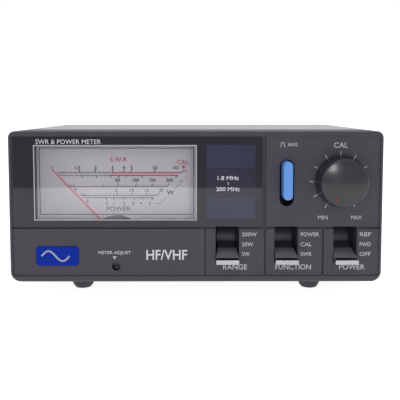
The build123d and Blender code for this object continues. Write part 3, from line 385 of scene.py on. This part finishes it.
# The blue patch: two solid blocks with fine stripes between them.
PATCH_LEFT, PATCH_RIGHT = 4.3, 24.5
STRIPE_FIRST = 36.05
STRIPE_PITCH = 0.9
STRIPE_COUNT = 14
patch = Sheet(GLASS - PROUD * 2)
patch.block(PATCH_LEFT, 26.6, PATCH_RIGHT, 35.6)
patch.block(PATCH_LEFT, 48.3, PATCH_RIGHT, 57.4)
for i in range(STRIPE_COUNT):
    stripe = STRIPE_FIRST + STRIPE_PITCH * i
    patch.block(PATCH_LEFT, stripe, PATCH_RIGHT, stripe + STRIPE_PITCH / 2)
patch.piece("window_blue_patch", NIGHT_BLUE)

bands = Sheet(GLASS - PROUD * 3)
bands.text("1.8 MHz", 13.3, 43.7, 1.6, width=8.8, bold=0.015)
bands.block(13.2, 40.8, 13.45, 42.0)
bands.text("200 MHz", 13.2, 39.1, 1.6, width=9.8, bold=0.015)
bands.piece("window_bands", BRIGHT_PRINT)

lens_edge = Sheet(LENS - PROUD)
lens_edge.frame(-65.2, 28.0, -0.85, 56.1, 0.28)
lens_edge.piece("lens_line", BLACK_PRINT)


# ---------------------------------------------------------------- dial


def ray_x(x, z, at_z):
    """Where the ray from the pivot through (x, z) crosses another height."""
    return PIVOT[0] + (x - PIVOT[0]) * (at_z - PIVOT[1]) / (z - PIVOT[1])


def tick(sheet, x, z, low, high, width):
    """A division across a line at z, slanted along its ray from the pivot."""
    sheet.stroke((ray_x(x, z, z + low), z + low), (ray_x(x, z, z + high), z + high), width)


def between(places, parts):
    """The minor divisions between numbered places."""
    for (a, b), count in zip(zip(places, places[1:]), parts):
        for i in range(1, count):
            yield a + (b - a) * i / count


black = Sheet(DIAL - PROUD * 2)
red = Sheet(DIAL - PROUD)
rose = Sheet(DIAL - PROUD)
FIGURE = {"bold": 0.035}


def scale_row(line_z, places, parts, major, minor, thick, thin):
    """Slanted divisions at the places on one line, with smaller ones between them."""
    for x in places:
        tick(black, x, line_z, min(0.0, major), max(0.0, major), thick)
    for x in between(places, parts):
        tick(black, x, line_z, min(0.0, minor), max(0.0, minor), thin)


# Heights of the scales' lines: standing wave ratio high and low, then 200 W, 20 W and 5 W.
H_Z = 44.75
L_Z = 43.7
W200_Z = 38.8
W20_Z = 34.9
W5_Z = 34.05

SWR_WORDS = ("1", "1.5", "2", "3", "4", "5", "10")
for word, x in zip(SWR_WORDS, (-61.9, -50.9, -43.2, -35.9, -31.0, -27.7, -17.6)):
    black.text(word, x, 46.95, 1.45, **FIGURE)
for x in (-9.35, -7.95):
    black.text("O", x, 46.95, 1.2, width=1.4, **FIGURE)
black.stroke((-59.9, H_Z), (-35.9, H_Z), 0.32)
black.stroke((-59.0, L_Z), (-36.9, L_Z), 0.26)
red.stroke((-35.9, H_Z), (-6.1, H_Z), 0.6)
red.stroke((-36.9, L_Z - 0.05), (-7.7, L_Z - 0.05), 0.6)
scale_row(H_Z, (-49.7, -43.1, -35.9, -31.1, -28.1, -18.2, -6.2), (5, 4, 1, 1, 1, 1),
          1.35, 0.85, 0.42, 0.2)
scale_row(L_Z, (-49.6, -43.1, -36.9, -33.2, -30.0, -23.0, -7.8), (5, 5, 1, 1, 1, 1),
          -1.2, -0.75, 0.42, 0.2)
for i in range(1, 5):
    tick(black, -59.4 + 1.95 * i, H_Z, 0.0, 0.85, 0.2)
    tick(black, -58.6 + 1.8 * i, L_Z, -0.75, 0.0, 0.2)
red.text("S.W.R", -33.25, 50.5, 1.8, width=7.3, bold=0.02)
red.text("CAL", -5.6, 49.3, 1.8, width=5.1, bold=0.02)
red.shape([(-6.4, 47.85), (-5.4, 46.2), (-4.4, 47.85)])
rose.text("H", -4.2, 45.3, 1.35)
rose.text("L", -4.2, 42.8, 1.35)

black.stroke((-54.3, W200_Z), (-12.7, W200_Z), 0.24)
for word, x in zip(("50", "100", "150", "200"), (-33.8, -26.0, -18.7, -11.4)):
    black.text(word, x, 41.55, 1.4, **FIGURE)
scale_row(W200_Z, (-33.6, -26.1, -19.3, -12.8), (5, 5, 5), 1.3, 0.75, 0.36, 0.17)
scale_row(W200_Z, (-43.2, -39.8, -37.2, -35.2, -33.6), (1, 1, 1, 1), 0.75, 0.75, 0.17, 0.17)
black.stroke((-49.6, W20_Z), (-16.8, W20_Z), 0.24)
for word, x in zip(("5", "10", "15", "20"), (-34.3, -27.6, -21.3, -15.1)):
    black.text(word, x, 37.2, 1.35, bold=0.02)
scale_row(W20_Z, (-34.0, -27.9, -22.0, -16.8), (5, 5, 5), 1.2, 0.7, 0.34, 0.17)
scale_row(W20_Z, (-42.3, -39.0, -37.0, -35.5, -34.0), (1, 1, 1, 1), 0.7, 0.7, 0.17, 0.17)
black.stroke((-48.9, W5_Z), (-18.2, W5_Z), 0.24)
for word, x in zip((".5", "1", "2", "3", "4", "5"), (-38.6, -35.5, -31.05, -27.2, -23.8, -20.0)):
    black.text(word, x, 31.5, 1.3, bold=0.02)
scale_row(W5_Z, (-38.8, -35.6, -30.9, -26.6, -22.7, -18.3), (2, 5, 5, 5, 5), -1.2, -0.6, 0.34, 0.17)
scale_row(W5_Z, (-43.6, -42.2, -40.9, -39.8), (1, 1, 1), -0.6, -0.6, 0.17, 0.17)
black.text("0", -52.0, 37.5, 1.35, bold=0.02)
black.text("0", -46.9, 32.5, 1.3, bold=0.02)
for line_z, x in ((W20_Z, -47.6), (W200_Z, -52.4), (W20_Z, -49.0), (W200_Z, -53.6)):
    tick(black, x, line_z, 0.0, 0.9, 0.3)
black.text("POWER", -33.4, 29.1, 2.0, width=10.4, bold=0.004)
black.text("W", -11.1, 36.2, 1.9, **FIGURE)
for start, end in (((-7.9, 41.25), (-5.8, 41.25)), ((-5.8, 41.25), (-9.2, 37.7)),
                   ((-12.6, 34.5), (-15.5, 31.35)), ((-15.5, 31.35), (-17.9, 31.35))):
    black.stroke(start, end, 0.18)
black.piece("dial_black_print", BLACK_PRINT)
red.piece("dial_red_print", RED_PRINT)
rose.piece("dial_rose_print", ROSE_PRINT)


# ---------------------------------------------------------------- rear panel

rear = Sheet(REAR + PROUD, mirrored=True)
rear.text("TX", -26.0, 49.2, 2.6)
rear.text("ANT", 26.0, 49.2, 2.6)
rear.text("DC 11-15V", 60.0, 27.4, 1.8)
rear.piece("rear_legends", WHITE_PRINT)


# ---------------------------------------------------------------- stage, light, camera


def slab(name, corners, finish):
    data = bpy.data.meshes.new(name)
    data.from_pydata(corners, [], [(0, 1, 2, 3)])
    obj = bpy.data.objects.new(name, data)
    data.materials.append(finish.material)
    bpy.context.scene.collection.objects.link(obj)


# In metres. The floor ends this far ahead of the case, and its edge makes the line reflected in the window.
FLOOR_AHEAD = 0.33
FLOOR_REACH = 3
FLOOR_EDGE = FRONT - FLOOR_AHEAD
FLOOR = Finish("floor_paper", (0.54, 0.54, 0.545), (0.58, 0.58, 0.585), 0.8, patch=3.0, grain=900.0,
               Specular_IOR_Level=0.1, Emission_Color=(1.0, 1.0, 1.0, 1.0), Emission_Strength=0.9)
slab("floor", [(-FLOOR_REACH, FLOOR_EDGE, 0), (FLOOR_REACH, FLOOR_EDGE, 0),
               (FLOOR_REACH, FLOOR_REACH, 0), (-FLOOR_REACH, FLOOR_REACH, 0)], FLOOR)


def lamp(name, place, target, width, height, power):
    """A rectangular lamp that faces the target; metres and watts."""
    data = bpy.data.lights.new(name, "AREA")
    data.shape = "RECTANGLE"
    data.size = width
    data.size_y = height
    data.energy = power
    obj = bpy.data.objects.new(name, data)
    obj.location = place
    obj.rotation_mode = "QUATERNION"
    obj.rotation_quaternion = (Vector(target) - Vector(place)).to_track_quat("-Z", "Y")
    bpy.context.scene.collection.objects.link(obj)


lamp("overhead_panel", (0.0, -0.10, 0.75), (0, 0, 0.03), 0.9, 0.6, 1.6)
lamp("front_lamp", (0.060, -0.46, 0.115), (0.03, -0.05, 0.04), 0.05, 0.05, 0.12)

# The room is white behind the object and a dull lilac grey in front of it and beside it.
world = bpy.data.worlds.new("studio")
world.use_nodes = True
nodes = world.node_tree.nodes
links = world.node_tree.links
heading = nodes.new("ShaderNodeSeparateXYZ")
links.new(nodes.new("ShaderNodeTexCoord").outputs["Generated"], heading.inputs["Vector"])
behind = nodes.new("ShaderNodeMapRange")
behind.inputs["From Min"].default_value = 0.15
behind.inputs["From Max"].default_value = 0.6
links.new(heading.outputs["Y"], behind.inputs["Value"])
room = nodes.new("ShaderNodeValToRGB")
room.color_ramp.elements[0].color = (0.62, 0.59, 0.66, 1.0)
room.color_ramp.elements[1].color = (1.0, 1.0, 1.0, 1.0)
links.new(behind.outputs["Result"], room.inputs["Fac"])
links.new(room.outputs["Color"], nodes["Background"].inputs["Color"])
bpy.context.scene.world = world
bpy.context.scene.view_settings.view_transform = "Standard"

YAW = math.radians(0.2)
PITCH = math.radians(4.0)
CAMERA_PLACE = at(0.8, -242.9, 72.3)
lens = bpy.data.cameras.new("camera")
lens.lens = 53.35
lens.sensor_width = 36.0
lens.shift_y = -0.125
lens.clip_start = 0.01
camera = bpy.data.objects.new("camera", lens)
camera.location = CAMERA_PLACE
gaze = Vector((math.sin(YAW) * math.cos(PITCH), math.cos(YAW) * math.cos(PITCH), -math.sin(PITCH)))
camera.rotation_mode = "QUATERNION"
camera.rotation_quaternion = gaze.to_track_quat("-Z", "Y")
bpy.context.scene.collection.objects.link(camera)
bpy.context.scene.camera = camera
